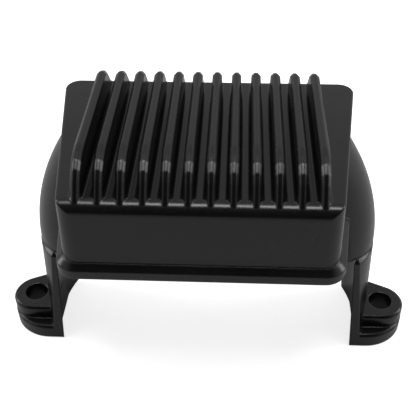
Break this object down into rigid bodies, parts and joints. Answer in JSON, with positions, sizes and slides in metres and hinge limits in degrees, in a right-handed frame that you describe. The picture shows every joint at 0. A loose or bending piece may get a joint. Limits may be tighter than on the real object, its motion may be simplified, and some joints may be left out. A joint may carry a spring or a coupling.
{
  "type": "voltage regulator rectifier",
  "caption": "Finned black metal box on side walls that end in bolt-down ears, with plug sockets in its potted underside.",
  "frame": {"origin": "midway between the two bolt holes, on the plane that the ears and side walls stand on", "axes": "+X along the row of bolt holes, +Y from the short front edge of the box to its long back edge, +Z away from the mounting plane through the fins"},
  "size_m": [0.151, 0.076, 0.0965],
  "materials": {
    "powder_coated_casting": "black semi-gloss powder coat over an aluminium die casting",
    "potting_resin": "cast black resin",
    "thermal_pad": "soft grey silicone",
    "device_plastic": "moulded black epoxy",
    "board_laminate": "green glass-fibre laminate",
    "screw_steel": "zinc plated steel",
    "chip_plastic": "moulded black epoxy",
    "capacitor_block": "moulded amber resin",
    "resistor_ceramic": "dark glazed chip",
    "socket_plastic": "moulded black nylon",
    "blade_brass": "plain rolled brass"
  },
  "bodies": {
    "root": {"housing": "powder_coated_casting", "potting": "potting_resin", "insulating_pad": "thermal_pad", "power_device_1": "device_plastic", "power_device_2": "device_plastic", "power_device_3": "device_plastic", "power_device_4": "device_plastic", "power_device_5": "device_plastic", "power_device_6": "device_plastic", "circuit_board": "board_laminate", "board_screws": "screw_steel", "control_chip": "chip_plastic", "capacitor_1": "capacitor_block", "capacitor_2": "capacitor_block", "resistor_1": "resistor_ceramic", "resistor_2": "resistor_ceramic", "resistor_3": "resistor_ceramic", "stator_socket": "socket_plastic", "stator_blade_1": "blade_brass", "stator_blade_2": "blade_brass", "stator_blade_3": "blade_brass", "output_socket": "socket_plastic", "output_blade_1": "blade_brass", "output_blade_2": "blade_brass"}
  },
  "joints": []
}
